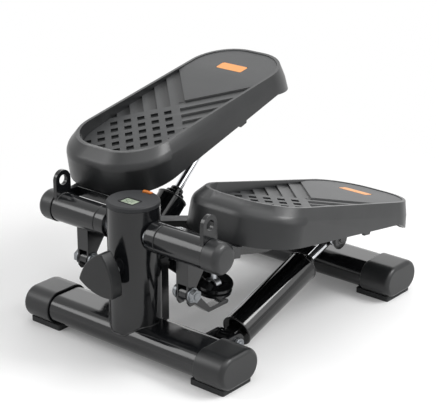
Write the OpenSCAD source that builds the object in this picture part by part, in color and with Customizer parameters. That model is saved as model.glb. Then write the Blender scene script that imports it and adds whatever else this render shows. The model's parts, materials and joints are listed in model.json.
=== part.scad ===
// Mini stepper: two hinged pedals on a short steel stand, each held by an oil damper,
// tied together by a rocking beam so that one rises as the other sinks.
// Frame: x = 0 is the mid-plane, +X right, +Y from the display post to the heels, +Z up, floor z = 0.

/* [Base] */
// distance between the centre lines of the two floor bars
bar_span = 368; // [350:2:390]
// overall width over the end caps
base_width = 358; // [340:2:372]
// depth of the flat-oval bar, front to back
bar_w = 70; // [66:1:74]
// height of the flat-oval bar
bar_h = 40; // [38:1:42]
// how much a cap stands proud of the bar all round
cap_wall = 3; // [2.5:0.5:4]
// length of an end cap along the bar
cap_len = 48; // [40:1:56]
// foot pad length along the bar
pad_len = 55.4; // [48:0.2:58]
// foot pad width across the bar
pad_w = 56.7; // [48:0.2:60]
// foot pad thickness
pad_t = 5; // [3:0.5:8]

/* [Post and axle] */
// outside radius of the post
post_r = 35; // [33:0.5:35.5]
// post wall
post_wall = 3.5; // [2:0.5:5]
// top of the display
post_top = 215; // [212:1:225]
// height of the pedal axle
axle_z = 173; // [170:0.5:176]
// axle set back from the front bar centre line (negative is forward)
axle_dy = -2; // [-4:0.5:2]
// axle radius
axle_r = 15; // [13:0.5:16]
// radius of the fixed sleeve on the axle
sleeve_r = 20; // [19:0.5:20.5]
// start of the sleeve, from the mid-plane
sleeve_x0 = 53.4; // [52:0.1:56]
// end of the sleeve, from the mid-plane
sleeve_x1 = 131.7; // [129:0.1:133]
// length of a pedal's outer hub
hub_l = 13; // [12.5:0.5:14]
// radial running clearance on every pivot
run_fit = 0.05; // [0.02:0.01:0.1]
// end clearance between a turning and a fixed piece
end_gap = 0.4; // [0.3:0.1:1]

/* [Band lugs and hangers] */
// hole radius of a resistance-band lug
lug_hole_r = 7; // [5:0.5:8]
// height of the lug hole above the axle
lug_up = 39.5; // [37:0.5:42]
// lug plate thickness
lug_t = 6; // [4:0.5:8]
// centre of the hanging bracket from the mid-plane
hanger_x = 88.5; // [87:0.5:90]
// width of the hanging bracket
hanger_w = 20; // [18:0.5:22]
// bracket plate thickness
plate_t = 3; // [2:0.5:3.5]

/* [Pedals] */
// pedal centre line from the mid-plane
pedal_x = 105; // [103:0.5:108]
// how far the lower pedal slopes down to the heel
pitch = 14.4; // [13.5:0.1:15.5]
// swing of a pedal from its lower to its upper stop
swing = 25; // [24:0.1:25.5]
// half width of the pedal rim
pedal_half = 75.5; // [74:0.5:77]
// toe end of the rim, from the axle
toe_u = 57; // [55:0.5:60]
// heel end of the rim, from the axle
heel_u = 406; // [400:1:412]
// height of the rim plane over the axle
rim_w = 67.4; // [66:0.2:69]
// rim wall round the tread insert
rim_t = 4.5; // [4:0.5:5]
// depth of the foot well at the toe, below the heel plate
well = 20.5; // [18:0.5:21]
// where the foot well's slope meets the level heel plate, from the axle
well_u = 321; // [316:1:326]
// tread insert thickness
tread_t = 5; // [4:0.5:5.5]
// point of the tread's chevrons, from the axle
vee_u = 238; // [232:1:244]
// spacing of the chevron steps and of the pits
pitch_p = 19.4; // [18:0.2:20]
// depth of the chevron steps and of the pits
step_h = 2.6; // [1.5:0.1:3]
// side of a square pit
pit = 10.4; // [8:0.2:12]
// skirt edge over the axle line at the toe, and its rise per millimetre toward the heel
skirt_w = 9.5; // [9:0.5:11]
// slope of the skirt edge
skirt_k = 0.0755; // [0.072:0.0005:0.078]
// heel label length
label_l = 47; // [40:1:50]
// heel label width
label_w = 19; // [16:1:20]

/* [Dampers] */
// damper pivot height on the front bar
damper_z = 23; // [22:0.5:25]
// damper pivot behind the front bar centre line
damper_dy = 63; // [61:0.5:65]
// damper cylinder radius
damper_r = 22; // [19:0.5:22.5]
// piston rod radius
rod_r = 6; // [5:0.5:6.5]
// upper pivot along the pedal, from the axle
clevis_u = 307.3; // [303:0.5:312]
// upper pivot height over the axle, square to the pedal
clevis_w = 1.5; // [0:0.5:3]
// slack of the rod eye round its pin: the constant ratios leave this much to take up
eye_slack = 2.9; // [2.7:0.1:3.2]

/* [Rocking beam] */
// pivot height of the rocking beam
beam_z = 108; // [107:0.5:109]
// centre of the rocking beam, front to back, behind the axle
beam_dy = 77; // [76:0.5:78]
// half length of the rocking beam
beam_half = 99; // [90:0.5:100]
// beam depth, front to back
beam_w = 34; // [30:1:36]
// beam thickness
beam_t = 12; // [10:0.5:12.5]
// radius of the disc at a beam end
end_r = 27; // [25:0.5:28]
// height of the groove round a beam end
groove_h = 3.6; // [3:0.2:4]
// depth of the groove round a beam end
groove_d = 4; // [3:0.5:5]
// strut position on the beam, from the pivot
strut_x = 72; // [71:0.5:73]
// tilt of the beam with one pedal down
beam_tilt = 14.4; // [14:0.1:14.8]
// slack of the strut eye round its pin
strut_slack = 2.6; // [2.4:0.1:2.8]

/* [Display and knob] */
// knob height
knob_z = 128; // [124:1:132]
// knob face forward of the post centre
knob_out = 70; // [66:1:74]
// knob thickness
knob_t = 19; // [16:0.5:22]
// radius through the knob's three corners
knob_r = 36.5; // [33:0.5:38]
// display window length
lcd_l = 22; // [18:1:26]
// display window depth
lcd_w = 15; // [12:1:16]
// outer radius of the curved button
key_r = 32; // [30:0.5:32.5]
// width of the curved button
key_w = 6; // [5:0.5:7]
// depth of the button's pocket
key_deep = 6; // [5:0.5:6.5]
// button travel
press = 1.5; // [1:0.1:2]

/* [Hidden] */
$fn = 48;
// puts the middle of the whole outline, knob to heel, over the origin
heel_out = (heel_u + 6) * cos(pitch) + 46.4 * sin(pitch);
y_mid = (bar_span + knob_out - axle_dy - heel_out) / 2;
yf = y_mid - bar_span / 2;
yr = y_mid + bar_span / 2;
bar_z = pad_t + cap_wall + bar_h / 2;
cap_x1 = base_width / 2;
cap_x0 = cap_x1 - cap_len;
bar_x1 = cap_x1 - 9;
hy = yf + axle_dy;
hz = axle_z;
cap_z0 = post_top - 7;
lean_r = -pitch;
lean_l = swing - pitch;
dy = yf + damper_dy;
bolt_r = 5;
strut_pin_r = 4;
slot_half = 8.5;
strut_u = 83.3;
strut_w = -10.6;
hang_y = hy + 3;
hang_z = 108;
spine_z = beam_z + 51;
heel_w = rim_w - 1;
well_0 = toe_u + 6;
well_lean = atan2(well, well_u - well_0);
heel_in = heel_u - rim_t;
// surface of the foot well along its slope, and the skirt's lower edge
function floor_w(u) = heel_w + (min(u, well_u) - well_u) * well / (well_u - well_0);
function skirt(u) = skirt_w + skirt_k * u;
// underside and top of the box arm, along the pedal
function arm_bot(u) = -6 + (u - 120) * 28 / 210;
function arm_top(u) = 30 + (u - 120) * 14 / 210;
// upper damper pivot in the frame, for a pedal leaning by a
function up_y(a) = hy + clevis_u * cos(a) - clevis_w * sin(a);
function up_z(a) = hz + clevis_u * sin(a) + clevis_w * cos(a);
function damp_a(a) = atan2(up_z(a) - damper_z, up_y(a) - dy);
function damp_l(a) = norm([up_z(a) - damper_z, up_y(a) - dy]);
// strut pin on the yoke, for a pedal leaning by a
function st_y(a) = hy + strut_u * cos(a) - strut_w * sin(a);
function st_z(a) = hz + strut_u * sin(a) + strut_w * cos(a);

// a rod along X
module bar_x(r, x0, x1) {
    translate([x0, 0, 0])
        rotate([0, 90, 0])
            cylinder(r = r, h = x1 - x0);
}

// a rod along Y
module bar_y(r, y0, y1) {
    translate([0, y0, 0])
        rotate([-90, 0, 0])
            cylinder(r = r, h = y1 - y0);
}

// a flat-oval bar along X
module oval_x(w, h, x0, x1) {
    k = (w - h) / 2;
    translate([x0, -k, -h / 2])
        cube([x1 - x0, 2 * k, h]);
    for (s = [-1, 1])
        translate([0, s * k, 0])
            bar_x(h / 2, x0, x1);
}

// a profile drawn in Y and Z, given thickness in X
module slab_x(x0, x1) {
    translate([x0, 0, 0])
        rotate([90, 0, 90])
            linear_extrude(height = x1 - x0)
                children();
}

// a piece of the right side, or its mirror image on the left
module side(s) {
    if (s > 0)
        children();
    else
        mirror([1, 0, 0])
            children();
}

// the leaning pedal frame: u along the pedal is Y, w square to it is Z, the axle is the origin
module pedal_frame(s) {
    side(s)
        translate([0, hy, hz])
            rotate([s > 0 ? lean_r : lean_l, 0, 0])
                children();
}

// the damper frame: Y runs up the damper from its lower pivot
module damper_frame(s) {
    side(s)
        translate([pedal_x, dy, damper_z])
            rotate([damp_a(s > 0 ? lean_r : lean_l), 0, 0])
                children();
}

module floor_bar(y) {
    color("#26282a")
        translate([0, y, bar_z])
            difference() {
                oval_x(bar_w, bar_h, -bar_x1, bar_x1);
                oval_x(bar_w - 4, bar_h - 4, -bar_x1 - 1, bar_x1 + 1);
            }
}

module front_bar() {
    floor_bar(yf);
}

module rear_bar() {
    floor_bar(yr);
}

module end_cap(sx, y) {
    w = bar_w + 2 * cap_wall;
    h = bar_h + 2 * cap_wall;
    color("#4a4c4e")
        side(sx)
            translate([0, y, bar_z])
                difference() {
                    hull() {
                        oval_x(w, h, cap_x0, cap_x1 - 7);
                        oval_x(w - 2.5, h - 2.5, cap_x1 - 3, cap_x1 - 2.5);
                        oval_x(w - 9, h - 9, cap_x1 - 0.5, cap_x1);
                    }
                    oval_x(bar_w + 0.2, bar_h + 0.2, cap_x0 - 1, bar_x1);
                }
}

module cap_fl() {
    end_cap(-1, yf);
}

module cap_fr() {
    end_cap(1, yf);
}

module cap_rl() {
    end_cap(-1, yr);
}

module cap_rr() {
    end_cap(1, yr);
}

module foot_pad(sx, y) {
    r = 8;
    x1 = cap_x1 - 5;
    x0 = x1 - pad_len;
    color("#1d1e1f")
        side(sx)
            translate([0, y, 0]) {
                translate([x0 + r, -pad_w / 2, 0])
                    cube([pad_len - 2 * r, pad_w, pad_t]);
                translate([x0, -pad_w / 2 + r, 0])
                    cube([pad_len, pad_w - 2 * r, pad_t]);
                for (x = [x0 + r, x1 - r], v = [-1, 1])
                    translate([x, v * (pad_w / 2 - r), 0])
                        cylinder(r = r, h = pad_t);
            }
}

module pad_fl() {
    foot_pad(-1, yf);
}

module pad_fr() {
    foot_pad(1, yf);
}

module pad_rl() {
    foot_pad(-1, yr);
}

module pad_rr() {
    foot_pad(1, yr);
}

// sloping square tube from the back of the post down to the rear bar
module backbone() {
    y0 = yf + post_r - 1;
    z1 = bar_z + bar_h / 2 + 14;
    fall = atan2(spine_z - z1, yr - y0);
    len = norm([spine_z - z1, yr - y0]);
    color("#26282a")
        difference() {
            translate([-15, y0, spine_z])
                rotate([-fall, 0, 0])
                    translate([0, -8, -18])
                        difference() {
                            cube([30, len + 12, 36]);
                            translate([3, -1, 3])
                                cube([24, len + 22, 30]);
                        }
            translate([0, yf, 0])
                cylinder(r = post_r, h = 400);
            translate([0, yr, bar_z])
                oval_x(bar_w, bar_h, -40, 40);
        }
}

module post() {
    color("#2a2c2e")
        difference() {
            translate([0, yf, bar_z + 8])
                cylinder(r = post_r, h = cap_z0 - bar_z - 8);
            translate([0, yf, 0])
                cylinder(r = post_r - post_wall, h = 400);
            translate([0, yf, bar_z])
                oval_x(bar_w, bar_h, -60, 60);
            translate([0, hy, hz])
                bar_x(axle_r, -60, 60);
            translate([0, 0, knob_z])
                bar_y(6 + run_fit, yf - 60, yf);
        }
}

// upright plate behind the post: carries the rocking beam's pivot
module gusset() {
    color("#26282a")
        difference() {
            translate([-15, yf + 18, bar_z + 4])
                cube([30, 31, beam_z + 16 - bar_z - 4]);
            translate([0, yf, 0])
                cylinder(r = post_r, h = 400);
            translate([0, yf, bar_z])
                oval_x(bar_w, bar_h, -60, 60);
            translate([0, 0, beam_z])
                bar_y(6, yf, yf + 60);
        }
}

module axle() {
    color("#8d9092")
        translate([0, hy, hz])
            bar_x(axle_r, -sleeve_x1 - hub_l - 7, sleeve_x1 + hub_l + 7);
}

module sleeve(s) {
    color("#2a2c2e")
        side(s)
            translate([0, hy, hz])
                difference() {
                    bar_x(sleeve_r, sleeve_x0, sleeve_x1);
                    bar_x(axle_r, 0, 200);
                }
}

module sleeve_r() {
    sleeve(1);
}

module sleeve_l() {
    sleeve(-1);
}

module lug(s) {
    r = 13.5;
    color("#2a2c2e")
        side(s)
            translate([0, hy, hz])
                difference() {
                    union() {
                        translate([0, 0, lug_up])
                            bar_x(r, sleeve_x1 - lug_t, sleeve_x1);
                        translate([sleeve_x1 - lug_t, -r, 10])
                            cube([lug_t, 2 * r, lug_up - 10]);
                    }
                    bar_x(sleeve_r, 0, 200);
                    translate([0, 0, lug_up])
                        bar_x(lug_hole_r, 0, 200);
                }
}

module lug_r() {
    lug(1);
}

module lug_l() {
    lug(-1);
}

// three-sided bracket under the sleeve, open to the rear
module hanger(s) {
    x0 = hanger_x - hanger_w / 2;
    x1 = hanger_x + hanger_w / 2;
    color("#2a2c2e")
        side(s)
            difference() {
                slab_x(x0, x1)
                    polygon([[hy - 5, hz - 8], [hy + 26, hz - 8], [hy + 26, hang_z + 27], [hang_y + 9, hang_z + 9],
                             [hang_y + 8, hang_z - 10], [hang_y + 4, hang_z - 15], [hang_y - 4, hang_z - 15],
                             [hy - 5, hang_z - 9]]);
                slab_x(x0 + plate_t, x1 - plate_t)
                    polygon([[hy - 2, hz], [hy + 40, hz], [hy + 40, 80], [hy - 20, 80], [hy - 20, hang_z + 14],
                             [hy - 2, hang_z + 14]]);
                translate([0, hy, hz])
                    bar_x(sleeve_r, 0, 200);
                translate([0, hang_y, hang_z])
                    bar_x(bolt_r, 0, 200);
            }
}

module hanger_r() {
    hanger(1);
}

module hanger_l() {
    hanger(-1);
}

module hanger_bolt(s) {
    x0 = hanger_x - hanger_w / 2;
    x1 = hanger_x + hanger_w / 2;
    color("#b9bcbe")
        side(s)
            translate([0, hang_y, hang_z]) {
                bar_x(bolt_r, x0 - 8, x1 + 9);
                bar_x(10, x0 - 2.5, x0);
                bar_x(8, x0 - 7, x0 - 2.5);
                bar_x(10, x1, x1 + 2);
                translate([x1 + 2, 0, 0])
                    rotate([0, 90, 0])
                        cylinder(r = 9, h = 6, $fn = 6);
            }
}

module hanger_bolt_r() {
    hanger_bolt(1);
}

module hanger_bolt_l() {
    hanger_bolt(-1);
}

// arm on the bracket bolt that stops the beam's end
module stop_arm(s) {
    x0 = hanger_x - 6;
    x1 = hanger_x + 6;
    top = 75.4;
    color("#26282a")
        side(s)
            difference() {
                union() {
                    translate([0, hang_y, hang_z])
                        bar_x(8.5, x0, x1);
                    slab_x(x0, x1)
                        polygon([[hang_y + 2, hang_z + 8], [hang_y + 8, hang_z + 3], [hang_y + 40, top],
                                 [hy + 77, top], [hy + 77, top - 6], [hang_y + 37, top - 6],
                                 [hang_y - 3, hang_z - 7.5]]);
                    translate([0, hy + 77, top - 3])
                        bar_x(3, x0, x1);
                }
                translate([0, hang_y, hang_z])
                    bar_x(bolt_r, 0, 200);
            }
}

module stop_arm_r() {
    stop_arm(1);
}

module stop_arm_l() {
    stop_arm(-1);
}

// two-cheek bracket on the back of the front bar for the damper's foot
module damper_mount(s) {
    r = 14;
    color("#3a3c3e")
        side(s)
            difference() {
                for (x = [pedal_x - 17.4, pedal_x + 13.4])
                    union() {
                        translate([0, dy, damper_z])
                            bar_x(r, x, x + 4);
                        translate([x, yf + 20, damper_z - r])
                            cube([4, dy - yf - 20, 2 * r]);
                    }
                translate([0, yf, bar_z]) {
                    oval_x(bar_w, bar_h, 0, base_width);
                    oval_x(bar_w + 2 * cap_wall + 0.6, bar_h + 2 * cap_wall + 0.6, cap_x0 - 0.3, base_width);
                }
                translate([0, dy, damper_z])
                    bar_x(bolt_r, 0, 300);
            }
}

module damper_mount_r() {
    damper_mount(1);
}

module damper_mount_l() {
    damper_mount(-1);
}

module lower_pin(s) {
    color("#b9bcbe")
        side(s)
            translate([pedal_x, dy, damper_z]) {
                bar_x(bolt_r, -24, 24);
                bar_x(8.5, -22, -17.4);
                bar_x(8.5, 17.4, 22);
            }
}

module lower_pin_r() {
    lower_pin(1);
}

module lower_pin_l() {
    lower_pin(-1);
}

// display head: a plug in the post with a round top plate
module console() {
    color("#3b3d40")
        difference() {
            translate([0, yf, 0]) {
                translate([0, 0, hz + axle_r + 4])
                    cylinder(r = post_r - post_wall, h = cap_z0 - hz - axle_r - 4);
                translate([0, 0, cap_z0])
                    cylinder(r = post_r, h = post_top - cap_z0 - 2);
                translate([0, 0, post_top - 2])
                    cylinder(r1 = post_r, r2 = post_r - 2, h = 2);
            }
            translate([3 - lcd_l / 2, yf - 9 - lcd_w / 2, post_top - 2])
                cube([lcd_l, lcd_w, 10]);
            translate([0, yf, post_top - key_deep])
                arc_key(0, 0, 20);
        }
}

module lcd() {
    color("#b9c9a4")
        translate([3 - lcd_l / 2, yf - 9 - lcd_w / 2, post_top - 2])
            cube([lcd_l, lcd_w, 1.6]);
}

// curved key along the rear edge of the display, drawn in by g
module arc_key(g, z0, z1) {
    a0 = 78 + 2.3 * g;
    a1 = 108 - 2.3 * g;
    intersection() {
        translate([0, 0, z0])
            difference() {
                cylinder(r = key_r - g, h = z1 - z0);
                translate([0, 0, -1])
                    cylinder(r = key_r - key_w + g, h = z1 - z0 + 2);
            }
        translate([0, 0, z0 - 1])
            linear_extrude(height = z1 - z0 + 2)
                polygon([[0, 0], [60 * cos(a0), 60 * sin(a0)], [60 * cos(a1), 60 * sin(a1)]]);
    }
}

module button() {
    color("#d9822b")
        translate([0, yf, post_top - key_deep])
            arc_key(end_gap, press + end_gap, key_deep + 1.8);
}

module pivot_bolt() {
    y0 = yf + post_r + 0.3;
    y1 = hy + beam_dy + beam_w / 2 + 6;
    color("#b9bcbe")
        translate([0, 0, beam_z]) {
            bar_y(6, y0, y1 + 6);
            bar_y(10, y1, y1 + 6);
        }
}

// rocking beam: a bar with a grooved disc at each end, slotted for the strut and its cross pin
module rocker() {
    yc = hy + beam_dy;
    e = beam_half - end_r;
    color("#232527")
        translate([0, yc, beam_z])
            rotate([0, beam_tilt, 0])
                difference() {
                    union() {
                        translate([-e, -beam_w / 2, -beam_t / 2])
                            cube([2 * e, beam_w, beam_t]);
                        for (s = [-1, 1])
                            translate([s * e, 0, -beam_t / 2])
                                cylinder(r = end_r, h = beam_t);
                        bar_y(10, -beam_w / 2 - 4, beam_w / 2 + 4);
                    }
                    bar_y(6 + run_fit, -60, 60);
                    for (s = [-1, 1]) {
                        difference() {
                            translate([s * strut_x - 15, -slot_half, -20])
                                cube([30, 2 * slot_half, 40]);
                            translate([s * strut_x, 0, 0])
                                bar_y(strut_pin_r, -20, 20);
                        }
                        edge_groove(s, e);
                    }
                }
}

// groove round the outer half of a beam end, so that it reads as two plates
module edge_groove(s, e) {
    r = end_r - groove_d;
    intersection() {
        translate([s * e, 0, -groove_h / 2])
            difference() {
                cylinder(r = end_r + 5, h = groove_h);
                translate([0, 0, -1])
                    cylinder(r = r, h = groove_h + 2);
            }
        translate([s > 0 ? e : -e - 2 * end_r, -end_r - 10, -20])
            cube([2 * end_r, 2 * end_r + 20, 40]);
    }
}

// outline slice of the pedal shell: four thin discs at the toe and heel corners
module tray_discs(u0, u1, half0, half1, r0, r1, w0, w1) {
    for (s = [-1, 1]) {
        translate([s * (half0 - r0), u0 + r0, w0])
            cylinder(r = r0, h = 0.4, $fn = 44);
        translate([s * (half1 - r1), u1 - r1, w1])
            cylinder(r = r1, h = 0.4, $fn = 44);
    }
}

// outline of the tread insert seen from above, grown by g
module plan_outline(g) {
    half = pedal_half - rim_t;
    toe = half - 15;
    heel = half - 13;
    for (s = [-1, 1]) {
        translate([s * (half - toe), well_0 + toe])
            circle(r = toe + g);
        translate([s * (half - heel), heel_in - heel])
            circle(r = heel + g);
    }
    translate([-half + toe, well_0 - g])
        square([2 * (half - toe), toe + g]);
    translate([-half - g, well_0 + toe])
        square([2 * half + 2 * g, heel_in - well_0 - toe - heel]);
    translate([-half + heel, heel_in - heel])
        square([2 * (half - heel), heel + g]);
}

// solid over the insert's outline, from its underside up to the tread surface plus h
module insert(h, g) {
    half = pedal_half + 5;
    translate([pedal_x, 0, 0])
        intersection() {
            slab_x(-half, half)
                polygon([[0, floor_w(0) - tread_t], [well_u, heel_w - tread_t], [heel_u, heel_w - tread_t],
                         [heel_u, heel_w + h], [well_u, heel_w + h], [0, floor_w(0) + h]]);
            linear_extrude(height = rim_w + 80)
                plan_outline(g);
        }
}

// moulded pedal shell: bevelled toe wall, skirt with a hanging heel lip, foot well
module tray(s) {
    color("#46484b")
        pedal_frame(s) {
            tray_shell();
            for (k = [[122, 150, 44], [295, 322, 57]])
                slab_x(pedal_x - 20, pedal_x + 20)
                    polygon([[k[0], arm_top(k[0])], [k[1], arm_top(k[1])], [k[1], k[2]], [k[0], k[2]]]);
        }
}

// shell with its skirt, hollow below, cut for the foot well and trimmed along the skirt edge
module tray_shell() {
    half = pedal_half;
    difference() {
        translate([pedal_x, 0, 0])
            hull() {
                tray_discs(toe_u, heel_u, half, half, 61, 62, rim_w - 0.4, rim_w - 0.4);
                tray_discs(toe_u - 17, heel_u + 6, half + 9.9, half + 3, 68, 64, 52.4, 46);
                tray_discs(toe_u - 18.5, heel_u + 9, half + 10.4, half + 4, 69, 64, 7, 24);
            }
        translate([pedal_x, 0, 0])
            hull() {
                tray_discs(toe_u - 13.4, heel_u - 1.5, half + 6, half - 2, 64.5, 59, 36.1, 56.2);
                tray_discs(toe_u - 14.8, heel_u + 7, half + 6.6, half + 0.5, 65, 60, -4, 8);
            }
        insert(40, 0);
        slab_x(pedal_x - 120, pedal_x + 120)
            polygon([[0, -60], [0, skirt(0)], [257, skirt(257)], [258.5, skirt(255) - 3.5],
                     [271.5, skirt(270) - 3.5], [273, skirt(273)], [heel_u - 56, skirt(heel_u - 56)],
                     [heel_u - 8, 24.2], [heel_u - 8, -60]]);
    }
}

module tray_r() {
    tray(1);
}

module tray_l() {
    tray(-1);
}

// the tread surface turned to the chevrons: X and Y run along the two arms, origin at their point
module vee_frame() {
    translate([pedal_x, vee_u, floor_w(vee_u)])
        rotate([well_lean, 0, 0])
            rotate([0, 0, 45])
                children();
}

// one chevron step: a riser at the rear edge, then a ramp that comes up just short of the next one
module chevron_step(k) {
    p0 = k == 0 ? 0 : -2 - pitch_p * k;
    run = p0 + 0.5 + pitch_p * (k + 1);
    rise = 4;
    translate([0, 120, 0])
        rotate([90, 0, 0])
            linear_extrude(height = 129)
                polygon([[p0, -step_h], [p0, rise], [p0 - run * (step_h + rise) / step_h, rise]]);
}

// tread insert: a sloping plate with chevron steps and rows of pits, and the level heel plate
module tread(s) {
    color("#3e4043")
        pedal_frame(s)
            difference() {
                insert(0, -0.3);
                vee_frame() {
                    for (k = [0 : 5]) {
                        chevron_step(k);
                        mirror([1, -1, 0])
                            chevron_step(k);
                    }
                    for (i = [1 : 5], j = [1 : 5])
                        translate([-2 - pitch_p * i - pit, -2 - pitch_p * j - pit, -step_h])
                            cube([pit, pit, 9]);
                }
                translate([pedal_x - label_l / 2, well_u + 15.5, heel_w - 0.8])
                    cube([label_l, label_w, 5]);
            }
}

module tread_r() {
    tread(1);
}

module tread_l() {
    tread(-1);
}

module label(s) {
    color("#f4b06a")
        pedal_frame(s)
            translate([pedal_x - label_l / 2 + 0.2, well_u + 15.7, heel_w - 0.8])
                cube([label_l - 0.4, label_w - 0.4, 1]);
}

module label_r() {
    label(1);
}

module label_l() {
    label(-1);
}

// pedal yoke: two hubs on the axle, a cross plate behind the sleeve and a box arm under the shell
module yoke(s) {
    a0 = pedal_x - 20;
    a1 = pedal_x + 20;
    x2 = sleeve_x1 + end_gap;
    bar_up = skirt(toe_u - 17) - 0.6;
    color("#2a2c2e")
        pedal_frame(s)
            difference() {
                union() {
                    bar_x(sleeve_r, post_r + 1.5, sleeve_x0 - end_gap);
                    bar_x(sleeve_r + 1, x2, x2 + hub_l);
                    for (x = [post_r + 5, x2 + hub_l - 11])
                        slab_x(x, x + 10)
                            polygon([[0, -14], [36, -4], [46, -4], [46, bar_up], [36, bar_up], [0, 19]]);
                    slab_x(post_r + 5, x2 + hub_l - 1)
                        polygon([[37, -4], [46, -4], [46, bar_up], [37, bar_up]]);
                    slab_x(a0, a1)
                        polygon([[45, -6], [120, -6], [330, arm_bot(330)], [330, arm_top(330)], [120, 30], [45, bar_up - 2]]);
                    slab_x(a0 - 6, a0)
                        polygon([[70, 22], [70, -12], [78, -19], [89, -19], [97, -12], [97, 22]]);
                    translate([0, strut_u, strut_w])
                        bar_x(strut_pin_r, strut_x - 9, a0);
                }
                bar_x(axle_r + run_fit, 0, 300);
            }
}

module yoke_r() {
    yoke(1);
}

module yoke_l() {
    yoke(-1);
}

module hub_cap(s) {
    x0 = sleeve_x1 + end_gap + hub_l;
    color("#4a4c4e")
        pedal_frame(s)
            difference() {
                union() {
                    bar_x(sleeve_r + 1, x0, x0 + 5.5);
                    translate([x0 + 5.5, 0, 0])
                        rotate([0, 90, 0])
                            cylinder(r1 = sleeve_r + 1, r2 = sleeve_r - 2.5, h = 4);
                    translate([x0 + 9.5, 0, 0])
                        rotate([0, 90, 0])
                            cylinder(r1 = sleeve_r - 2.5, r2 = sleeve_r - 9, h = 2);
                }
                bar_x(axle_r + run_fit, 0, x0 + 8);
            }
}

module hub_cap_r() {
    hub_cap(1);
}

module hub_cap_l() {
    hub_cap(-1);
}

// two cheeks under the arm for the damper's upper eye
module clevis(s) {
    color("#2a2c2e")
        pedal_frame(s)
            difference() {
                for (x = [pedal_x - 12.6, pedal_x + 8.6])
                    union() {
                        translate([0, clevis_u, clevis_w])
                            bar_x(12, x, x + 4);
                        slab_x(x, x + 4)
                            polygon([[clevis_u - 12, clevis_w], [clevis_u + 12, clevis_w],
                                     [clevis_u + 12, arm_bot(clevis_u + 12)],
                                     [clevis_u - 12, arm_bot(clevis_u - 12)]]);
                    }
                translate([0, clevis_u, clevis_w])
                    bar_x(bolt_r, 0, 300);
            }
}

module clevis_r() {
    clevis(1);
}

module clevis_l() {
    clevis(-1);
}

module upper_pin(s) {
    color("#b9bcbe")
        pedal_frame(s)
            translate([pedal_x, clevis_u, clevis_w]) {
                bar_x(bolt_r, -18, 18);
                bar_x(8.5, -16.6, -12.6);
                bar_x(8.5, 12.6, 16.6);
            }
}

module upper_pin_r() {
    upper_pin(1);
}

module upper_pin_l() {
    upper_pin(-1);
}

// strut from the yoke's pin down to the beam's cross pin
module strut(s) {
    a = s > 0 ? lean_r : lean_l;
    y1 = st_y(a);
    z1 = st_z(a);
    y0 = hy + beam_dy;
    z0 = beam_z - s * strut_x * sin(beam_tilt);
    x0 = strut_x - 1.2;
    l = norm([z1 - z0, y1 - y0]);
    t = atan2(y0 - y1, z1 - z0);
    color("#8d9092")
        side(s)
            translate([0, y0, z0])
                rotate([t, 0, 0])
                    difference() {
                        union() {
                            translate([x0, 0, 0])
                                bar_y(strut_pin_r + strut_slack + 4, -5, 5);
                            translate([x0, 0, 0])
                                cylinder(r = 4.5, h = l);
                            translate([0, 0, l])
                                bar_x(8.5, x0 - 5, x0 + 5);
                        }
                        translate([x0, 0, 0])
                            bar_y(strut_pin_r + strut_slack, -20, 20);
                        translate([0, 0, l])
                            bar_x(strut_pin_r + run_fit, 0, 200);
                    }
}

module strut_r() {
    strut(1);
}

module strut_l() {
    strut(-1);
}

// damper cylinder with its foot eye
module damper_body(s) {
    color("#1b1c1e")
        damper_frame(s)
            difference() {
                union() {
                    bar_x(12, -13, 13);
                    translate([-9, 0, -9])
                        cube([18, 22, 18]);
                    bar_y(damper_r, 20, 172);
                }
                bar_x(bolt_r + run_fit, -60, 60);
                bar_y(damper_r - 3, 30, 164);
                bar_y(rod_r + 1, 160, 200);
            }
}

module cylinder_r() {
    damper_body(1);
}

module cylinder_l() {
    damper_body(-1);
}

module gland(s) {
    color("#2e3033")
        damper_frame(s)
            difference() {
                union() {
                    bar_y(14, 172, 180);
                    bar_y(10, 180, 185);
                }
                bar_y(rod_r + run_fit, 160, 200);
            }
}

module gland_r() {
    gland(1);
}

module gland_l() {
    gland(-1);
}

// piston, chrome rod and upper eye
module piston_rod(s) {
    l = damp_l(s > 0 ? lean_r : lean_l);
    l0 = damp_l(lean_r);
    p = 60 + l - l0;
    color("#d4d6d8")
        damper_frame(s)
            difference() {
                union() {
                    bar_y(damper_r - 3 - run_fit, p, p + 12);
                    bar_y(rod_r, p, l - bolt_r - eye_slack - 1);
                    translate([0, l, 0])
                        bar_x(bolt_r + eye_slack + 4, -8, 8);
                }
                translate([0, l, 0])
                    bar_x(bolt_r + eye_slack, -60, 60);
            }
}

module rod_r() {
    piston_rod(1);
}

module rod_l() {
    piston_rod(-1);
}

// three-cornered step-height knob
module knob() {
    big = knob_r * 1.975;
    c = knob_r * 1.275;
    color("#3c3e41")
        translate([0, yf - knob_out, knob_z])
            rotate([-90, 0, 0])
                difference() {
                    intersection_for(i = [0 : 2])
                        rotate([0, 0, -78 + 120 * i])
                            translate([c, 0, 0])
                                cylinder(r = big - 1, h = knob_t, $fn = 96);
                    translate([0, 0, 8])
                        cylinder(r = 6, h = 40);
                }
}

module knob_shaft() {
    y0 = yf - knob_out + 8;
    color("#b9bcbe")
        translate([0, 0, knob_z]) {
            bar_y(6, y0, yf - 10);
            bar_y(11, y0 + knob_t - 8, y0 + knob_t - 2);
            bar_y(10, yf - post_r + post_wall + 2.5, yf - 22);
        }
}

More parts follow.
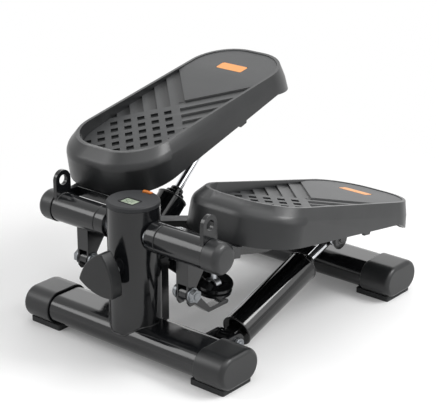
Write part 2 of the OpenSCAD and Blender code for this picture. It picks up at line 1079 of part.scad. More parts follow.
front_bar();
rear_bar();
cap_fl();
cap_fr();
cap_rl();
cap_rr();
pad_fl();
pad_fr();
pad_rl();
pad_rr();
backbone();
post();
gusset();
axle();
sleeve_r();
sleeve_l();
lug_r();
lug_l();
hanger_r();
hanger_l();
hanger_bolt_r();
hanger_bolt_l();
stop_arm_r();
stop_arm_l();
damper_mount_r();
damper_mount_l();
lower_pin_r();
lower_pin_l();
console();
lcd();
pivot_bolt();
rocker();
tray_r();
tray_l();
tread_r();
tread_l();
label_r();
label_l();
yoke_r();
yoke_l();
hub_cap_r();
hub_cap_l();
clevis_r();
clevis_l();
upper_pin_r();
upper_pin_l();
strut_r();
strut_l();
cylinder_r();
cylinder_l();
gland_r();
gland_l();
rod_r();
rod_l();
knob();
knob_shaft();
button();
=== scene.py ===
import json
import math

import bmesh
import bpy
from mathutils import Matrix, Vector


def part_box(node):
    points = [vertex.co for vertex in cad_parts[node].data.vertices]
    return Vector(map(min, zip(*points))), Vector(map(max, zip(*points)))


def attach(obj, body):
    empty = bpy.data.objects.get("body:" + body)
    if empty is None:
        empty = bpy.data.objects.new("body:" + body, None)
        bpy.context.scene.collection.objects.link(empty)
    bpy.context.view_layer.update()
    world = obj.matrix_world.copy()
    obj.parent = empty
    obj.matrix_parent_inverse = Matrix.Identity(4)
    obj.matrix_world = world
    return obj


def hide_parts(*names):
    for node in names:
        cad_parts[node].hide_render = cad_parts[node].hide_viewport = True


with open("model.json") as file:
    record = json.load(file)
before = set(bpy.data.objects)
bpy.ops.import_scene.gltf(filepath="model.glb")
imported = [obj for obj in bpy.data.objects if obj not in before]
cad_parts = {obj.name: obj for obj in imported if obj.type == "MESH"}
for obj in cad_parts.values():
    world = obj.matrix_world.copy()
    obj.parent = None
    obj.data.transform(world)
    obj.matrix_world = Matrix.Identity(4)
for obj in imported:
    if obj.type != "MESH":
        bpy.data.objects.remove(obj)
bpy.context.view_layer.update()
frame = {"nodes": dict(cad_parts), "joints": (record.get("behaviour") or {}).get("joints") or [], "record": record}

MM = 0.001
X, Y, Z = range(3)
UP = Vector((0, 0, 1))
RECORD = frame["record"]
SLOTS = {row["node"]: row["material_slot"] for row in RECORD["subparts"]}
BODY_OF = {n: body for body, nodes in RECORD["behaviour"]["bodies"].items() for n in nodes}
JOINTS = {j["name"]: j for j in frame["joints"]}
SIDES = {"r": 1, "l": -1}
CORNERS = ("fl", "fr", "rl", "rr")
PEDAL_BODY = {side: BODY_OF["tray_" + side] for side in SIDES}


def middle(node):
    """The centre of a node's box at rest."""
    low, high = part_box(node)
    return (low + high) / 2


def half(node, axis):
    """Half of a node's size at rest along an axis."""
    low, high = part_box(node)
    return (high[axis] - low[axis]) / 2


def sides_of(node):
    """How far a node's inner and outer sides lie from the object's middle, in millimetres."""
    return sorted(abs(corner.x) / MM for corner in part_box(node))


# places taken from the frame, in metres
AXLE = Vector(JOINTS["right_pedal_hinge"]["pos_m"])
POST_R = half("post", X)
BAR = middle("front_bar")
BAR_HALF_W, BAR_HALF_H = half("front_bar", Y), half("front_bar", Z)
SLEEVE_R = half("sleeve_r", Z)

# the damper's upper pin in the pedal's own frame
PIN_U, PIN_W = 0.3073, 0.0015
# the foot surface in that frame: level heel height, where its slope begins, the slope
# and the depth of its steps
HEEL_W, WELL_U, WELL_SLOPE, STEP_DEEP = 0.0664, 0.321, 20.5 / 258, 0.0026
# its square pits: the chevrons' point, the first gap, the pitch and the side,
# and which ones the toe's corners hold
VEE_U, PIT_GAP, PIT_PITCH, PIT = 0.238, 0.002, 0.0194, 0.0104
TOE_PITS = [(6, 2), (6, 3), (6, 4), (6, 5), (7, 3), (7, 4)]
TOE_PITS += [(j, i) for i, j in TOE_PITS]


def srgb(code):
    """An sRGB hex value as linear RGBA."""
    out = []
    for i in (1, 3, 5):
        c = int(code[i:i + 2], 16) / 255
        out.append(c / 12.92 if c <= 0.04045 else ((c + 0.055) / 1.055) ** 2.4)
    return (*out, 1.0)


def add(tree, kind, links=None, **settings):
    """One node with its settings; links maps an input to a value or to another node's output."""
    node = tree.nodes.new(kind)
    for name, value in settings.items():
        setattr(node, name, value)
    for name, value in (links or {}).items():
        if isinstance(value, bpy.types.NodeSocket):
            tree.links.new(value, node.inputs[name])
        else:
            node.inputs[name].default_value = value
    return node


def start_material(name):
    """An empty material, its node tree and Object coordinates."""
    mat = bpy.data.materials.new(name)
    mat.use_nodes = True
    tree = mat.node_tree
    tree.nodes.clear()
    place = add(tree, "ShaderNodeTexCoord").outputs["Object"]
    return mat, tree, place


def finish_material(tree, **sockets):
    """The shader and the output."""
    inputs = {name.replace("_", " "): value for name, value in sockets.items()}
    shader = add(tree, "ShaderNodeBsdfPrincipled", inputs)
    add(tree, "ShaderNodeOutputMaterial", {"Surface": shader.outputs["BSDF"]})


def moulded_abs(name, low, high, rough, grain_mm, bump, ior=1.47, painted_pit_shade=None):
    """Spark-textured ABS: a matt, slightly mottled grey whose fine grain breaks up the highlight.

    Where a piece says how far it is sunk, its pockets are painted darker: a painted shade for the shadow that
    falls in them.
    """
    cloud_mm, deep_mm = 38, 0.12
    mat, tree, place = start_material(name)
    # the grain is drawn coarser than the real 0.1 mm spark texture so that it shows
    grain = add(tree, "ShaderNodeTexNoise",
                {"Vector": place, "Scale": 1 / (grain_mm * MM), "Detail": 3.0})
    cloud = add(tree, "ShaderNodeTexNoise",
                {"Vector": place, "Scale": 1 / (cloud_mm * MM), "Detail": 2.0})
    colour = add(tree, "ShaderNodeValToRGB", {"Fac": cloud.outputs["Fac"]})
    for stop, at, code in zip(colour.color_ramp.elements, (0.3, 0.7), (low, high)):
        stop.position, stop.color = at, srgb(code)
    paint = colour.outputs["Color"]
    # painted shade: the deeper a point lies below the foot surface, the nearer its colour comes to the dark pit
    # colour
    if painted_pit_shade:
        sunk = add(tree, "ShaderNodeAttribute", attribute_name="sunk")
        painted_shade_mask = add(tree, "ShaderNodeMapRange",
                   {"Value": sunk.outputs["Fac"], "From Min": 0.1, "From Max": 0.8},
                   interpolation_type="SMOOTHSTEP")
        shaded_in_pits = add(tree, "ShaderNodeMix",
                   {"Factor": painted_shade_mask.outputs["Result"], "A": paint, "B": srgb(painted_pit_shade)},
                   data_type="RGBA")
        paint = shaded_in_pits.outputs["Result"]
    gloss = add(tree, "ShaderNodeMapRange",
                {"Value": grain.outputs["Fac"], "To Min": rough - 0.05, "To Max": rough + 0.06})
    relief = add(tree, "ShaderNodeBump",
                 {"Height": grain.outputs["Fac"], "Strength": bump, "Distance": deep_mm * MM})
    finish_material(tree, Base_Color=paint, Roughness=gloss.outputs["Result"],
                    Normal=relief.outputs["Normal"], IOR=ior)
    return mat


def gloss_enamel(name, code, rough, peel, ior=1.5):
    """Stove enamel or powder on steel: deep black with the faint waviness of a sprayed coat."""
    # the coat's waves, and patches of settled dust that dull it
    wave_mm, dust_mm, deep_mm = 3.2, 45, 0.05
    mat, tree, place = start_material(name)
    wave = add(tree, "ShaderNodeTexNoise",
               {"Vector": place, "Scale": 1 / (wave_mm * MM), "Detail": 1.5})
    dust = add(tree, "ShaderNodeTexNoise",
               {"Vector": place, "Scale": 1 / (dust_mm * MM), "Detail": 4.0})
    gloss = add(tree, "ShaderNodeMapRange",
                {"Value": dust.outputs["Fac"], "From Min": 0.3, "From Max": 0.75,
                 "To Min": rough - 0.03, "To Max": rough + 0.07})
    relief = add(tree, "ShaderNodeBump",
                 {"Height": wave.outputs["Fac"], "Strength": peel, "Distance": deep_mm * MM})
    finish_material(tree, Base_Color=srgb(code), Roughness=gloss.outputs["Result"],
                    Normal=relief.outputs["Normal"], IOR=ior)
    return mat


def plated_metal(name, code, rough, grain_mm, bump):
    """Plated steel: bright, with a fine grain that spreads and breaks up the highlight."""
    deep_mm = 0.03
    mat, tree, place = start_material(name)
    # the grain is drawn coarser than the real plating's so that it shows
    grain = add(tree, "ShaderNodeTexNoise",
                {"Vector": place, "Scale": 1 / (grain_mm * MM), "Detail": 2.0})
    gloss = add(tree, "ShaderNodeMapRange",
                {"Value": grain.outputs["Fac"], "To Min": rough * 0.7, "To Max": rough * 1.4})
    relief = add(tree, "ShaderNodeBump",
                 {"Height": grain.outputs["Fac"], "Strength": bump, "Distance": deep_mm * MM})
    finish_material(tree, Base_Color=srgb(code), Roughness=gloss.outputs["Result"], Metallic=1.0,
                    Normal=relief.outputs["Normal"])
    return mat


def soft_rubber(name, low, high):
    """Moulded rubber: near-black and dull, with a dusty bloom."""
    bloom_mm, deep_mm = 9, 0.1
    mat, tree, place = start_material(name)
    bloom = add(tree, "ShaderNodeTexNoise",
                {"Vector": place, "Scale": 1 / (bloom_mm * MM), "Detail": 5.0})
    colour = add(tree, "ShaderNodeValToRGB", {"Fac": bloom.outputs["Fac"]})
    for stop, code in zip(colour.color_ramp.elements, (low, high)):
        stop.color = srgb(code)
    relief = add(tree, "ShaderNodeBump",
                 {"Height": bloom.outputs["Fac"], "Strength": 0.3, "Distance": deep_mm * MM})
    finish_material(tree, Base_Color=colour.outputs["Color"], Roughness=0.78,
                    Normal=relief.outputs["Normal"], IOR=1.52)
    return mat


def printed_film(name, code, rough):
    """Coloured film, a moulded key or the display's window: even, with a slight satin drag."""
    drag_mm = 1.5
    mat, tree, place = start_material(name)
    drag = add(tree, "ShaderNodeTexNoise",
               {"Vector": place, "Scale": 1 / (drag_mm * MM), "Detail": 2.0})
    level = add(tree, "ShaderNodeMapRange",
                {"Value": drag.outputs["Fac"], "To Min": 0.95, "To Max": 1.05})
    tint = add(tree, "ShaderNodeHueSaturation",
               {"Color": srgb(code), "Value": level.outputs["Result"]})
    gloss = add(tree, "ShaderNodeMapRange",
                {"Value": drag.outputs["Fac"], "To Min": rough - 0.05, "To Max": rough + 0.08})
    finish_material(tree, Base_Color=tint.outputs["Color"], Roughness=gloss.outputs["Result"],
                    IOR=1.49)
    return mat


FINISH = {
    "grey_plastic": moulded_abs("moulded_abs_shell", "#212223", "#262728",
                                rough=0.33, grain_mm=0.8, bump=0.2),
    # the tread's pits and the low ends of its steps get a painted shade, darker with depth
    "tread_plastic": moulded_abs("moulded_abs_tread", "#323334", "#373839",
                                 rough=0.46, grain_mm=1.1, bump=0.35, painted_pit_shade="#101112"),
    "console_plastic": moulded_abs("moulded_abs_console", "#232426", "#27282a",
                                   rough=0.55, grain_mm=0.6, bump=0.1, ior=1.38),
    "black_steel": gloss_enamel("stove_enamel_steel", "#141517", rough=0.13, peel=0.06),
    "damper_paint": gloss_enamel("gloss_enamel_damper", "#0b0c0d", rough=0.08, peel=0.03),
    "zinc": plated_metal("zinc_plated_steel", "#b7babd", rough=0.3, grain_mm=0.7, bump=0.2),
    "chrome": plated_metal("hard_chrome", "#d8dadd", rough=0.07, grain_mm=0.5, bump=0.04),
    "rubber": soft_rubber("moulded_rubber", "#1b1c1d", "#262728"),
    "lcd_window": printed_film("display_glass", "#a0ad98", rough=0.12),
    "orange_plastic": printed_film("orange_abs_key", "#c9742f", rough=0.34),
    "orange_label": printed_film("orange_film", "#e8984c", rough=0.4),
}
INK = printed_film("display_ink", "#2e352c", rough=0.3)
CAP_FINISH = moulded_abs("moulded_abs_caps", "#1a1b1c", "#1f2021",
                         rough=0.34, grain_mm=0.8, bump=0.2)
KNOB_FINISH = moulded_abs("moulded_abs_knob", "#151617", "#191a1b",
                          rough=0.36, grain_mm=0.8, bump=0.2, ior=1.4)
BOLT_FINISH = plated_metal("zinc_plated_bolts", "#85888b", rough=0.4, grain_mm=0.7, bump=0.2)
# the sloping tube is powder coated: a satin black that stays dark when seen along its top
POWDER_COAT = gloss_enamel("powder_coated_steel", "#121314", rough=0.42, peel=0.1, ior=1.2)
# nodes with a finish of their own
OWN_FINISH = {"knob": KNOB_FINISH, "backbone": POWDER_COAT}
for corner in CORNERS:
    OWN_FINISH["cap_" + corner] = CAP_FINISH
for side in SIDES:
    OWN_FINISH["hanger_bolt_" + side] = BOLT_FINISH
    OWN_FINISH["lower_pin_" + side] = BOLT_FINISH
    OWN_FINISH["upper_pin_" + side] = FINISH["black_steel"]


def place_piece(name, bm, body, slot, smooth=38, weighted=True, finish=None):
    """A finished mesh as a piece that rides on a body and takes its finish from a slot.

    Faces that meet at less than smooth degrees are shaded as one surface.
    """
    mesh = bpy.data.meshes.new(name)
    bm.to_mesh(mesh)
    bm.free()
    mesh.shade_smooth()
    mesh.set_sharp_from_angle(angle=math.radians(smooth))
    obj = bpy.data.objects.new(name, mesh)
    bpy.context.scene.collection.objects.link(obj)
    mesh.materials.append(finish or FINISH[slot])
    if weighted:
        even = obj.modifiers.new("even_shading", "WEIGHTED_NORMAL")
        even.keep_sharp = True
    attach(obj, body)
    return obj


def stand_in(node, bm):
    """A finished mesh as the piece that stands for a CAD node."""
    piece = place_piece(node + "_body", bm, BODY_OF[node], SLOTS[node],
                        finish=OWN_FINISH.get(node))
    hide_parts(node)


def cad_copy(node):
    """A copy of a CAD node's mesh, its loose triangles merged and its flat faces joined."""
    bm = bmesh.new()
    bm.from_mesh(frame["nodes"][node].data)
    bmesh.ops.remove_doubles(bm, verts=bm.verts, dist=2e-6)
    bmesh.ops.dissolve_limit(bm, angle_limit=math.radians(0.4), verts=bm.verts, edges=bm.edges)
    return bm


def sharp_edges(bm, degrees):
    """The outward edges whose faces turn by more than an angle."""
    return [e for e in bm.edges if e.is_manifold and e.is_convex
            and e.calc_face_angle() > math.radians(degrees)]


def round_edges(bm, edges, width, segments, clamp=True):
    """Rounds edges by width millimetres."""
    bmesh.ops.bevel(bm, geom=edges, offset=width * MM, offset_type="OFFSET", segments=segments,
                    profile=0.5, affect="EDGES", clamp_overlap=clamp, material=-1)


def with_edges(faces):
    """Faces with their edges and corners, each once, as cutting and extruding take them."""
    return list(dict.fromkeys(g for f in faces for g in [f, *f.edges, *f.verts]))


def drawn_out(bm, geom, shift):
    """Extrudes faces and moves the new ones by shift."""
    made = bmesh.ops.extrude_face_region(bm, geom=geom)
    moved = [g for g in made["geom"] if isinstance(g, bmesh.types.BMVert)]
    bmesh.ops.translate(bm, verts=moved, vec=shift)


def round_section(radius, height, thick, count=8):
    """A round bead's section about (radius, height), in millimetres."""
    return [(radius + thick * math.cos(a), height + thick * math.sin(a))
            for a in (math.tau * i / count for i in range(count))]


def spun(outline, axis, place, sweep=360, steps=48, closed=True):
    """An outline of (radius, height) millimetres turned about an axis through place."""
    bm = bmesh.new()
    points = [bm.verts.new((r * MM, 0, h * MM)) for r, h in outline]
    following = points[1:] + points[:1] if closed else points[1:]
    edges = [bm.edges.new(pair) for pair in zip(points, following)]
    whole = sweep == 360
    bmesh.ops.spin(bm, geom=points + edges, axis=UP, cent=(0, 0, 0), angle=math.radians(sweep),
                   steps=steps, use_merge=whole)
    bmesh.ops.remove_doubles(bm, verts=bm.verts, dist=1e-6)
    if not whole:
        ends = [e for e in bm.edges if e.is_boundary]
        bmesh.ops.holes_fill(bm, edges=ends, sides=0)
    bmesh.ops.recalc_face_normals(bm, faces=bm.faces)
    turn = UP.rotation_difference(Vector(axis)).to_matrix().to_4x4()
    bmesh.ops.transform(bm, matrix=Matrix.Translation(place) @ turn, verts=bm.verts)
    return bm


# edges that turn by more than this are rounded, in this many steps and by these millimetres;
# the caps cover the bars' ends, so those stay sharp
EDGE_DEG, EDGE_STEPS = 32, 3
EDGE_MM = {
    "front_bar": 0, "rear_bar": 0, "backbone": 2.5, "post": 0.6, "gusset": 1, "axle": 0.6,
    "console": 0.6, "lcd": 0.2, "pivot_bolt": 0.6, "rocker": 1.4, "knob": 2.2,
    "knob_shaft": 0.5, "button": 0.5,
}
CAP_EDGE_MM = 2.2
SIDE_EDGE_MM = {
    "sleeve": 1.2, "lug": 1, "hanger": 1, "hanger_bolt": 0.6, "stop_arm": 1,
    "damper_mount": 0.8, "lower_pin": 0.8, "yoke": 1.4, "clevis": 0.8, "upper_pin": 0.8,
    "strut": 0.6, "cylinder": 1.2, "gland": 1, "rod": 0.5,
}
for corner in CORNERS:
    EDGE_MM["cap_" + corner] = CAP_EDGE_MM
for stem, width in SIDE_EDGE_MM.items():
    for side in SIDES:
        EDGE_MM[stem + "_" + side] = width


def eased(node, width):
    """A CAD node with its sharp outer edges rounded by width millimetres."""
    bm = cad_copy(node)
    if width:
        round_edges(bm, sharp_edges(bm, EDGE_DEG), width, EDGE_STEPS)
        bmesh.ops.dissolve_degenerate(bm, dist=1e-6, edges=bm.edges)
    stand_in(node, bm)


def pedal_frame(side):
    """From the object's frame to a pedal's own: Y along it from the axle, Z square to it."""
    pin = middle("upper_pin_" + side) - AXLE
    lean = math.atan2(pin.z, pin.y) - math.atan2(PIN_W, PIN_U)
    return Matrix.Rotation(-lean, 4, "X") @ Matrix.Translation((0, -AXLE.y, -AXLE.z))


def pedal_up(into):
    """The direction square to a pedal, in the object's frame."""
    return into.to_3x3().inverted() @ UP


# the shell, in millimetres: the heights that hold its crease, the shortest edge kept there and
# the crease's radius; then the height below which its other edges are rounded, and their radius
CREASE_LOW, CREASE_HIGH, CREASE_STEP, CREASE_R = 52.2, 53.0, 0.6, 6.5
SKIRT_TOP, SKIRT_R = 45, 0.9


def rounded_crease(bm, into):
    """Rounds the outline ring of the shell that lies below its rim."""
    def ring():
        return [v for v in bm.verts if CREASE_LOW * MM < (into @ v.co).z < CREASE_HIGH * MM]

    bmesh.ops.remove_doubles(bm, verts=ring(), dist=CREASE_STEP * MM)
    level = set(ring())
    edges = [e for e in sharp_edges(bm, degrees=6) if level.issuperset(e.verts)]
    round_edges(bm, edges, CREASE_R, segments=6)


def pedal_shell(side):
    """The moulded shell: a soft crease below the rim and small radii on its lower edges."""
    into = pedal_frame(side)
    bm = cad_copy("tray_" + side)
    lower = [e for e in sharp_edges(bm, degrees=50)
             if max((into @ v.co).z for v in e.verts) < SKIRT_TOP * MM]
    round_edges(bm, lower, SKIRT_R, segments=2)
    rounded_crease(bm, into)
    # the floor thins to a knife edge, so its underside is split here, where the split can
    # differ from the top's
    upright = pedal_up(into)
    under = [f for f in bm.faces if len(f.verts) > 4 and f.normal.dot(upright) < -0.9]
    bmesh.ops.triangulate(bm, faces=under, ngon_method="BEAUTY")
    stand_in("tray_" + side, bm)


def toe_pits(bm, into, x):
    """Carries the square pits on into the toe's corners, at the chevrons' pitch both ways."""
    point = Matrix.Translation((x, VEE_U, HEEL_W - (WELL_U - VEE_U) * WELL_SLOPE))
    lean = Matrix.Rotation(math.atan(WELL_SLOPE), 4, "X")
    to_pits = (point @ lean @ Matrix.Rotation(math.radians(45), 4, "Z")).inverted() @ into
    back = to_pits.inverted()
    up = (back.to_3x3() @ UP).normalized()

    def floor_faces():
        """The faces of the sloping floor itself."""
        return [f for f in bm.faces if f.normal.dot(up) > 0.9999
                and abs((to_pits @ f.calc_center_median()).z) < 0.1 * MM]

    rows = {i for pair in TOE_PITS for i in pair}
    cuts = sorted(-PIT_GAP - PIT_PITCH * i - edge for i in rows for edge in (0, PIT))
    for axis in (Vector((1, 0, 0)), Vector((0, 1, 0))):
        for cut in cuts:
            bmesh.ops.bisect_plane(bm, geom=with_edges(floor_faces()), dist=1e-7,
                                   plane_co=back @ (axis * cut), plane_no=back.to_3x3() @ axis)
    for pair in TOE_PITS:
        heart = Vector([-PIT_GAP - PIT_PITCH * i - PIT / 2 for i in pair] + [0])
        faces = []
        for f in floor_faces():
            off = to_pits @ f.calc_center_median() - heart
            if max(abs(off.x), abs(off.y)) < PIT / 2:
                faces.append(f)
        drawn_out(bm, with_edges(faces), -up * STEP_DEEP)


def tread_plate(side):
    """The tread insert, keeping how far each point lies below the foot surface for the painted shade in its pits
    and steps.
    """
    node = "tread_" + side
    into = pedal_frame(side)
    bm = cad_copy(node)
    toe_pits(bm, into, middle(node).x)
    round_edges(bm, sharp_edges(bm, EDGE_DEG), width=0.35, segments=EDGE_STEPS)
    # how deep each point lies sets the painted shade of its finish
    sunk = bm.verts.layers.float.new("sunk")
    for v in bm.verts:
        spot = into @ v.co
        surface = HEEL_W - max(0, WELL_U - spot.y) * WELL_SLOPE
        v[sunk] = min(1, max(0, (surface - spot.z) / STEP_DEEP))
    stand_in(node, bm)


def heel_mark(side):
    """The orange plate let into the heel, with rounded corners and a fine edge."""
    node = "label_" + side
    upright = pedal_up(pedal_frame(side))
    bm = cad_copy(node)
    corners = [e for e in bm.edges
               if abs((e.verts[1].co - e.verts[0].co).normalized().dot(upright)) > 0.9]
    round_edges(bm, corners, width=3, segments=5)
    rims = [e for e in bm.edges if e.calc_face_angle(0) > math.radians(60)]
    round_edges(bm, rims, width=0.2, segments=2)
    stand_in(node, bm)


# the hub covers, in millimetres: how far they stand over the sleeve's radius and the cap's end,
# their gaps to the lug, the hub and the axle's end
HUB_OVER, CAP_OVER, LUG_GAP, HUB_GAP, AXLE_GAP = 1.25, 0.4, 0.7, 0.2, 0.3
# and their wall, the bore round the axle, the radius of the edge and the crown of the face
HUB_WALL, HUB_BORE, HUB_EDGE_R, HUB_CROWN = 0.2, 15.2, 8.5, 0.3


def hub_cover(side):
    """The moulded cap over a pedal's outer hub and the axle end: a turned shape, its edge round."""
    rim = sides_of("lug_" + side)[1] + LUG_GAP
    hub_end, cap_end = sides_of("hub_cap_" + side)
    axle_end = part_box("axle")[1].x / MM + AXLE_GAP
    tip, seat = cap_end + CAP_OVER, hub_end + HUB_GAP
    outer = SLEEVE_R / MM + HUB_OVER
    inner = outer - HUB_WALL
    round_edge = [(outer + HUB_EDGE_R * (math.cos(a) - 1), tip + HUB_EDGE_R * (math.sin(a) - 1))
                  for a in (math.radians(10 * i) for i in range(10))]
    outline = [(0, axle_end), (HUB_BORE, axle_end), (HUB_BORE, seat), (inner, seat),
               (inner, rim), (outer, rim), *round_edge, (0, tip + HUB_CROWN)]
    bm = spun(outline, (SIDES[side], 0, 0), (0, AXLE.y, AXLE.z), steps=56, closed=False)
    piece = place_piece("hub_cover_" + side, bm, PEDAL_BODY[side], "grey_plastic")
    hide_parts("hub_cap_" + side)


# weld beads, in millimetres: their radius on the brackets and round the post, and the torch's
# ripple, its length and its share of the bead; then the steps of a bead in each degree
BEAD_R, POST_BEAD_R, RIPPLE_LONG, RIPPLE = 1.3, 1.2, 2.2, 0.16
BEAD_STEPS = 0.8
# their arcs on the tubes: where they start and how far they run, in degrees
HANGER_ARC, LUG_ARC, MOUNT_ARC = (-12, 78), (138, 84), (24, 90)
# how far they stand off their plates, and the thickness of the damper mounts' cheeks
SLEEVE_OFF, MOUNT_OFF, MOUNT_CHEEK = 0.4 * MM, 0.3 * MM, 4 * MM


def weld_bead(name, place, radius, arc, body):
    """A weld bead on a round tube along X, from a start angle: 0 is down, 90 to the heels."""
    start, sweep = arc
    bm = spun(round_section(radius, 0, BEAD_R), UP, (0, 0, 0), sweep=sweep,
              steps=round(sweep * BEAD_STEPS))
    for v in bm.verts:
        turn = math.atan2(v.co.y, v.co.x)
        heart = Vector((math.cos(turn), math.sin(turn), 0)) * radius * MM
        swell = 1 + RIPPLE * math.sin(turn * radius / RIPPLE_LONG * math.tau)
        v.co = heart + (v.co - heart) * swell
    lay = UP.rotation_difference(Vector((1, 0, 0))).to_matrix().to_4x4()
    begin = Matrix.Rotation(math.radians(start), 4, "Z")
    bmesh.ops.transform(bm, matrix=Matrix.Translation(place) @ lay @ begin, verts=bm.verts)
    place_piece(name, bm, body, "black_steel", smooth=60)


def bracket_welds(side):
    """The beads of the hanger and the lug on their sleeve and of the damper mount on the bar."""
    base = BODY_OF["hanger_" + side]
    low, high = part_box("hanger_" + side)
    for name, x in (("in", low.x - SLEEVE_OFF), ("out", high.x + SLEEVE_OFF)):
        weld_bead("hanger_weld_%s_%s" % (name, side), (x, AXLE.y, AXLE.z), SLEEVE_R / MM,
                  HANGER_ARC, base)
    lug_face = min(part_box("lug_" + side), key=lambda c: abs(c.x)).x - SIDES[side] * SLEEVE_OFF
    weld_bead("lug_weld_" + side, (lug_face, AXLE.y, AXLE.z), SLEEVE_R / MM, LUG_ARC, base)
    low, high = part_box("damper_mount_" + side)
    inside = MOUNT_CHEEK + MOUNT_OFF
    for name, x in (("a", low.x - MOUNT_OFF), ("b", low.x + inside),
                    ("c", high.x - inside), ("d", high.x + MOUNT_OFF)):
        weld_bead("mount_weld_%s_%s" % (name, side), (x, BAR.y + BAR_HALF_W - BAR_HALF_H, BAR.z),
                  BAR_HALF_H / MM, MOUNT_ARC, base)


def post_weld():
    """The bead where the post stands on the bar: a turned ring laid on the bar's rounded top."""
    bm = spun(round_section(POST_R / MM, 0, POST_BEAD_R), UP, (0, 0, 0), steps=144)
    flat = BAR_HALF_W - BAR_HALF_H
    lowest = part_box("post")[0].z - BAR.z
    for v in bm.verts:
        turn = math.atan2(v.co.y, v.co.x)
        over = max(0, abs(POST_R * math.sin(turn)) - flat)
        v.co.z += max(lowest, math.sqrt(max(0, BAR_HALF_H ** 2 - over ** 2)))
    bmesh.ops.translate(bm, verts=bm.verts, vec=(0, BAR.y, BAR.z))
    place_piece("post_weld", bm, BODY_OF["post"], "black_steel", smooth=60)


def display_frame():
    """The raised lip round the display window."""
    low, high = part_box("lcd")
    wide, painted_shade_mask = high.x - low.x, high.y - low.y
    lip, rise, sink = 2.2 * MM, 0.7 * MM, 0.1 * MM
    bm = bmesh.new()
    bmesh.ops.create_grid(bm, x_segments=1, y_segments=1, size=0.5)
    bmesh.ops.scale(bm, vec=(wide + 2 * lip, painted_shade_mask + 2 * lip, 1), verts=bm.verts)
    inner = bmesh.ops.inset_individual(bm, faces=bm.faces[:], thickness=lip + sink)
    hole = [f for f in bm.faces if f not in inner["faces"]]
    bmesh.ops.delete(bm, geom=hole, context="FACES")
    drawn_out(bm, bm.faces[:], (0, 0, rise))
    bmesh.ops.recalc_face_normals(bm, faces=bm.faces)
    corners = [e for e in bm.edges if abs(e.verts[0].co.z - e.verts[1].co.z) > rise / 2]
    round_edges(bm, corners, width=1.6, segments=4, clamp=False)
    rims = [e for e in bm.edges if min(v.co.z for v in e.verts) > rise * 0.9
            and e.calc_face_angle(0) > math.radians(35)]
    round_edges(bm, rims, width=0.3, segments=2, clamp=False)
    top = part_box("console")[1].z
    bmesh.ops.translate(bm, vec=((low.x + high.x) / 2, (low.y + high.y) / 2, top - sink),
                        verts=bm.verts)
    place_piece("display_frame", bm, BODY_OF["console"], "console_plastic")


# the bars of a numeral: half widths across, bar heights up, and 1 where the bar lies level
SEGMENTS = {"a": (0, 2, 1), "b": (1, 1.5, 0), "c": (1, 0.5, 0), "d": (0, 0, 1),
            "e": (-1, 0.5, 0), "f": (-1, 1.5, 0), "g": (0, 1, 1)}
DIGITS = {"1": "bc", "2": "abged", "5": "afgcd"}


def display_digits(text):
    """Plain liquid-crystal numerals, read from the pedals: each bar is a slip with pointed ends."""
    low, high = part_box("lcd")
    tall, wide, bar, step = 4.0 * MM, 3.6 * MM, 0.9 * MM, 6.0 * MM
    thick, clear = 0.12 * MM, 0.02 * MM
    bm = bmesh.new()
    for place, figure in enumerate(text):
        for x, y, level in (SEGMENTS[key] for key in DIGITS[figure]):
            slip = bmesh.ops.create_circle(bm, cap_ends=True, segments=6, radius=bar / 2)["verts"]
            reach = ((wide if level else tall) - bar * 1.5) / 2
            for v in slip:
                v.co.x += math.copysign(reach, v.co.x) if abs(v.co.x) > bar * 0.1 else 0
            if not level:
                bmesh.ops.rotate(bm, verts=slip, cent=(0, 0, 0),
                                 matrix=Matrix.Rotation(math.pi / 2, 3, "Z"))
            across = (place - (len(text) - 1) / 2) * step + x * wide / 2
            bmesh.ops.translate(bm, verts=slip, vec=(across, (y - 1) * tall, 0))
    drawn_out(bm, bm.faces[:], (0, 0, thick))
    bmesh.ops.recalc_face_normals(bm, faces=bm.faces)
    about = Matrix.Translation(((low.x + high.x) / 2, (low.y + high.y) / 2, high.z + clear))
    bmesh.ops.transform(bm, matrix=about @ Matrix.Rotation(math.pi, 4, "Z"), verts=bm.verts)
    place_piece("display_digits", bm, BODY_OF["lcd"], "lcd_window", weighted=False, finish=INK)


# turned trim of the dampers, in millimetres: the rolled rims below the tube's top, how deep they
# sit in it and their radius; then outlines of (radius, height)
RIMS = {"foot": 151.0, "head": 1.0}
RIM_SINK, RIM_R = 0.9, 1.7
WIPER = [(6.3, -0.5), (9.6, -0.5), (9.6, 1.2), (8.6, 2.4), (7.2, 3.0), (6.3, 3.0)]
SPACER = [(5.3, -1.8), (9.2, -1.8), (9.8, -1.2), (9.8, 1.2), (9.2, 1.8), (5.3, 1.8)]
SPACER_OUT = 15.2
WASHER = [(7.9, -0.1), (14.6, -0.1), (15.2, 0.5), (15.2, 2.2), (13.8, 3.4), (7.9, 3.4)]


def damper_trim(side):
    """Rolled rims on the damper tube, a wiper where the rod comes out, spacers at the foot eye."""
    foot = middle("lower_pin_" + side)
    axis = (middle("upper_pin_" + side) - foot).normalized()

    def top_of(node):
        return max((v.co - foot).dot(axis) / MM for v in frame["nodes"][node].data.vertices)

    body = BODY_OF["cylinder_" + side]
    tube_r, tube_top = half("cylinder_" + side, X) / MM, top_of("cylinder_" + side)
    for name, drop in RIMS.items():
        rim = round_section(tube_r - RIM_SINK, tube_top - drop, RIM_R, count=12)
        place_piece("damper_rim_%s_%s" % (name, side), spun(rim, axis, foot, steps=64), body,
                    "damper_paint", smooth=60)
    gland_top = top_of("gland_" + side)
    wiper = [(r, gland_top + h) for r, h in WIPER]
    place_piece("rod_wiper_" + side, spun(wiper, axis, foot, steps=40), body, "rubber")
    for name, x in (("inner", -SPACER_OUT), ("outer", SPACER_OUT)):
        bm = spun(SPACER, (1, 0, 0), foot + Vector((x * MM, 0, 0)), steps=36)
        place_piece("eye_spacer_%s_%s" % (name, side), bm, BODY_OF["lower_pin_" + side], "rubber")


